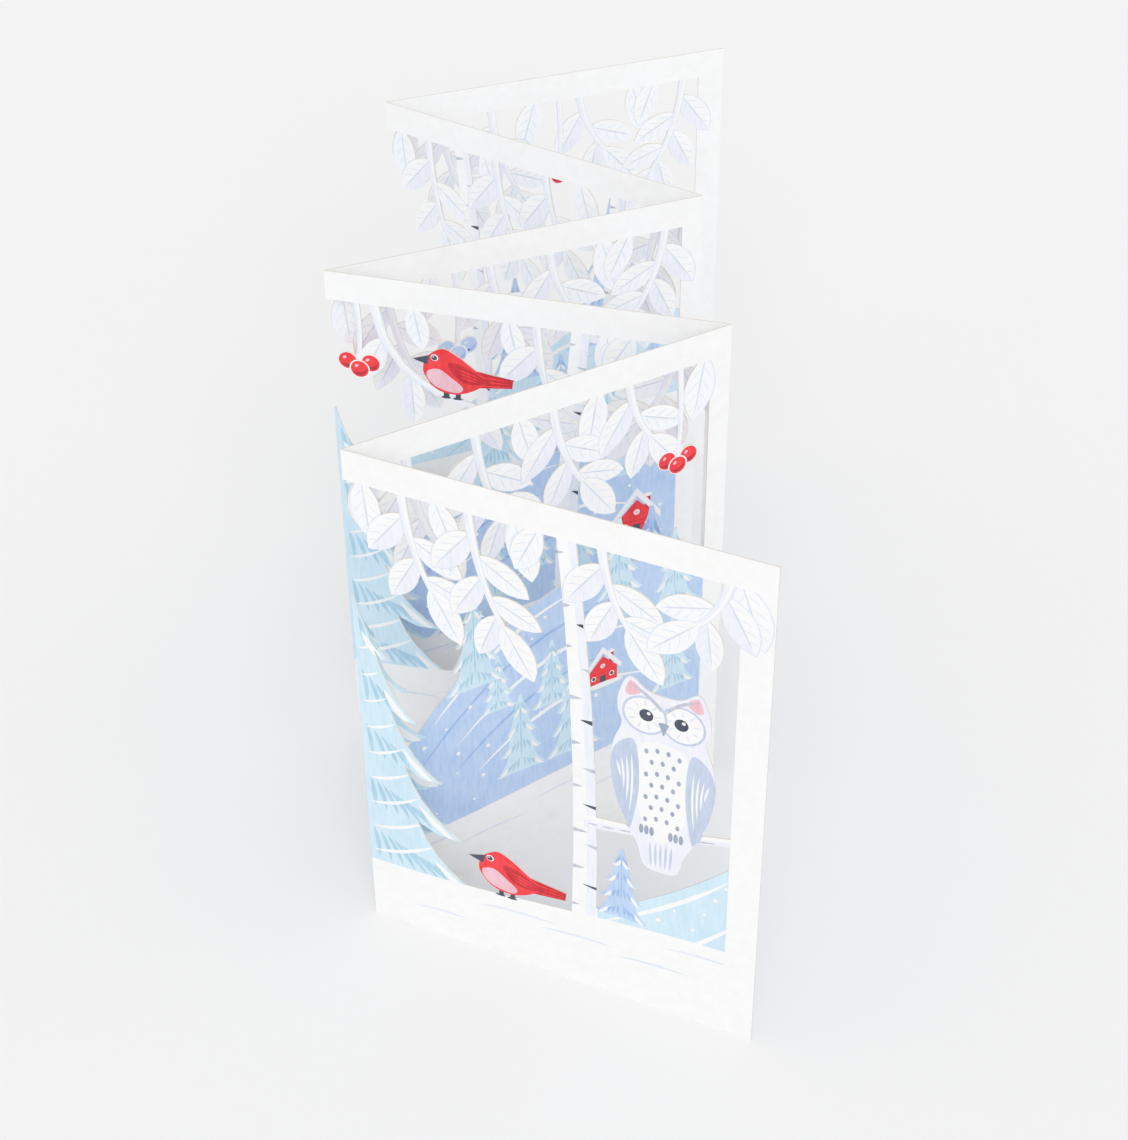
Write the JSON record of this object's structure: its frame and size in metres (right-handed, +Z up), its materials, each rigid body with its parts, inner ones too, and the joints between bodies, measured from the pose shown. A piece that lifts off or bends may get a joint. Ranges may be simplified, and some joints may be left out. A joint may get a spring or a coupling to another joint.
{
  "type": "concertina card",
  "caption": "Concertina greeting card of white card stock, die-cut with a winter wood of leafy sprays, firs and birds, standing in a zigzag on its lower edge.",
  "frame": {"origin": "centre of the bounding box on the surface the card stands on", "axes": "+Z up, +Y from the front panel to the back one along the zigzag, +X to the right seen from the front"},
  "size_m": [0.1316, 0.3086, 0.178],
  "materials": {
    "card_stock": "matt uncoated white card, printed on both sides"
  },
  "bodies": {
    "root": {"card": "card_stock"}
  },
  "joints": []
}
